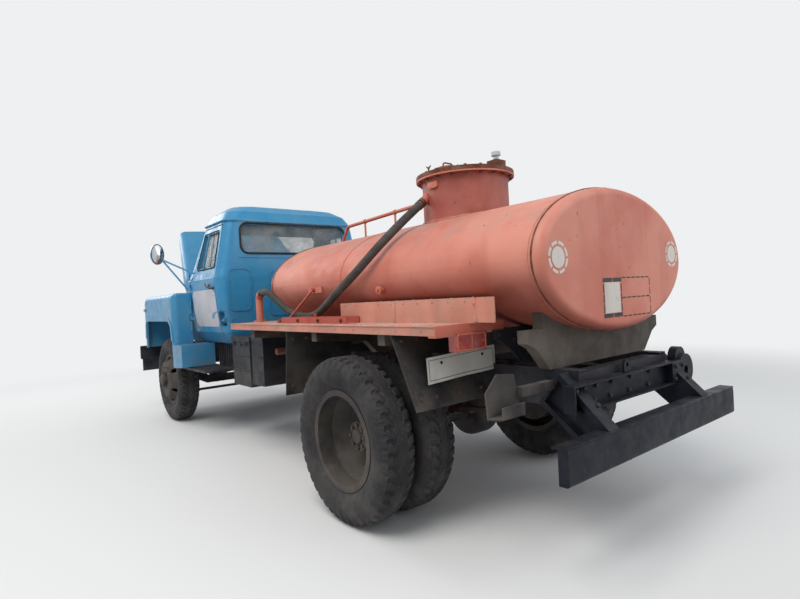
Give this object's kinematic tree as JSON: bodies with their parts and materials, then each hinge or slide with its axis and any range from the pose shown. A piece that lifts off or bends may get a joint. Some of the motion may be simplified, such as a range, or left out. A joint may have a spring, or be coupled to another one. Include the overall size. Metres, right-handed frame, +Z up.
{
  "type": "tanker truck",
  "caption": "Small two-axle tanker truck with a bonneted cab, oval tank, manhole neck, side decks and a rear guard bar; bonnet raised.",
  "frame": {"origin": "on the ground, on the centreline, half-way between the front bumper and the rear guard bar", "axes": "+X forward to the bumper, +Y to the truck's left side, +Z up"},
  "size_m": [5.83, 2.272, 2.222],
  "materials": {
    "cab_paint": "worn gloss",
    "tank_paint": "chalky matt",
    "chassis_paint": "dusty matt",
    "deck_paint": "peeling matt",
    "red_paint": "worn",
    "wheel_paint": "rusty matt",
    "bare_steel": "oily",
    "rusty_steel": "rusted",
    "tyre": "dusty",
    "hose_rubber": "ribbed",
    "clear_glass": "dusty",
    "lamp_red": "faded",
    "lamp_glass": "ribbed",
    "seat_cover": "creased",
    "black_plastic": "matt"
  },
  "bodies": {
    "chassis": {"rails": "chassis_paint", "crossmembers": "chassis_paint", "front_springs": "bare_steel", "rear_springs": "bare_steel", "front_axle": "chassis_paint", "rear_axle": "chassis_paint", "propeller_shaft": "bare_steel", "engine": "bare_steel", "radiator": "chassis_paint", "cab_front": "cab_paint", "cab_back": "cab_paint", "cab_floor": "cab_paint", "cab_roof": "cab_paint", "cab_glass": "clear_glass", "seat": "seat_cover", "dashboard": "cab_paint", "fenders": "cab_paint", "inner_wings": "cab_paint", "grille": "cab_paint", "headlamps": "lamp_glass", "bumper": "chassis_paint", "steps": "chassis_paint", "mirrors": "cab_paint", "side_boxes": "chassis_paint", "tank": "tank_paint", "manhole_cover": "rusty_steel", "bearers": "tank_paint", "decks": "deck_paint", "hose_cases": "deck_paint", "standpipe": "tank_paint", "hose": "hose_rubber", "exhaust": "rusty_steel", "hose_tray": "red_paint", "mudguards": "chassis_paint", "tail_lamps": "lamp_red", "guard_bar": "chassis_paint"},
    "knuckle_left": {"knuckle_left": "bare_steel"},
    "knuckle_right": {"knuckle_right": "bare_steel"},
    "track_rod": {"track_rod": "bare_steel"},
    "front_left_wheel": {"front_left_tyre": "tyre", "front_left_rim": "wheel_paint"},
    "front_right_wheel": {"front_right_tyre": "tyre", "front_right_rim": "wheel_paint"},
    "rear_left_wheels": {"rear_left_tyres": "tyre", "rear_left_rims": "wheel_paint"},
    "rear_right_wheels": {"rear_right_tyres": "tyre", "rear_right_rims": "wheel_paint"},
    "door_left": {"door_left": "cab_paint", "door_glass_left": "clear_glass"},
    "door_right": {"door_right": "cab_paint", "door_glass_right": "clear_glass"},
    "bonnet": {"bonnet": "cab_paint"},
    "steering_wheel": {"steering_wheel": "black_plastic"},
    "hatch_lid": {"hatch_lid": "red_paint"},
    "case_flap": {"case_flap": "deck_paint"}
  },
  "joints": [
    {"name": "steer_left", "type": "hinge", "parent": "chassis", "child": "knuckle_left", "pos_m": [2.07, 0.7, 0.455], "axis": [0, 0, 1], "range_deg": [-32, 32]},
    {"name": "steer_right", "type": "hinge", "parent": "chassis", "child": "knuckle_right", "pos_m": [2.07, -0.7, 0.455], "axis": [0, 0, 1], "range_deg": [-32, 32]},
    {"name": "track_rod_eye", "type": "hinge", "parent": "knuckle_left", "child": "track_rod", "pos_m": [1.9, 0.7, 0.319], "axis": [0, 0, 1], "range_deg": [-32, 32]},
    {"name": "steering_wheel_turn", "type": "hinge", "parent": "chassis", "child": "steering_wheel", "pos_m": [1.33, 0.37, 1.43], "axis": [-0.6428, 0, 0.766], "range_deg": [-576, 576]},
    {"name": "front_left_roll", "type": "hinge", "parent": "knuckle_left", "child": "front_left_wheel", "pos_m": [2.07, 0.85, 0.455], "axis": [0, 1, 0], "continuous": true},
    {"name": "front_right_roll", "type": "hinge", "parent": "knuckle_right", "child": "front_right_wheel", "pos_m": [2.07, -0.85, 0.455], "axis": [0, 1, 0], "continuous": true},
    {"name": "rear_left_roll", "type": "hinge", "parent": "chassis", "child": "rear_left_wheels", "pos_m": [-1.63, 0.838, 0.455], "axis": [0, 1, 0], "continuous": true},
    {"name": "rear_right_roll", "type": "hinge", "parent": "chassis", "child": "rear_right_wheels", "pos_m": [-1.63, -0.838, 0.455], "axis": [0, 1, 0], "continuous": true},
    {"name": "door_left_swing", "type": "hinge", "parent": "chassis", "child": "door_left", "pos_m": [1.5345, 0.836, 1.285], "axis": [0, 0, -1], "range_deg": [0, 65]},
    {"name": "door_right_swing", "type": "hinge", "parent": "chassis", "child": "door_right", "pos_m": [1.5345, -0.836, 1.285], "axis": [0, 0, 1], "range_deg": [0, 65]},
    {"name": "bonnet_lift", "type": "hinge", "parent": "chassis", "child": "bonnet", "pos_m": [1.728, 0, 1.462], "axis": [0, 1, 0], "range_deg": [0, 52]},
    {"name": "hatch_swing", "type": "hinge", "parent": "chassis", "child": "hatch_lid", "pos_m": [-1.692, 0.06, 2.0573], "axis": [0, -1, 0], "range_deg": [0, 110]},
    {"name": "case_flap_swing", "type": "hinge", "parent": "chassis", "child": "case_flap", "pos_m": [-2.403, 0.752, 1.14], "axis": [0, 0, 1], "range_deg": [0, 90]}
  ],
  "couplings": [
    {"joint": "steer_right", "follows": "steer_left", "ratio": 1},
    {"joint": "track_rod_eye", "follows": "steer_left", "ratio": -1},
    {"joint": "steering_wheel_turn", "follows": "steer_left", "ratio": 18}
  ]
}
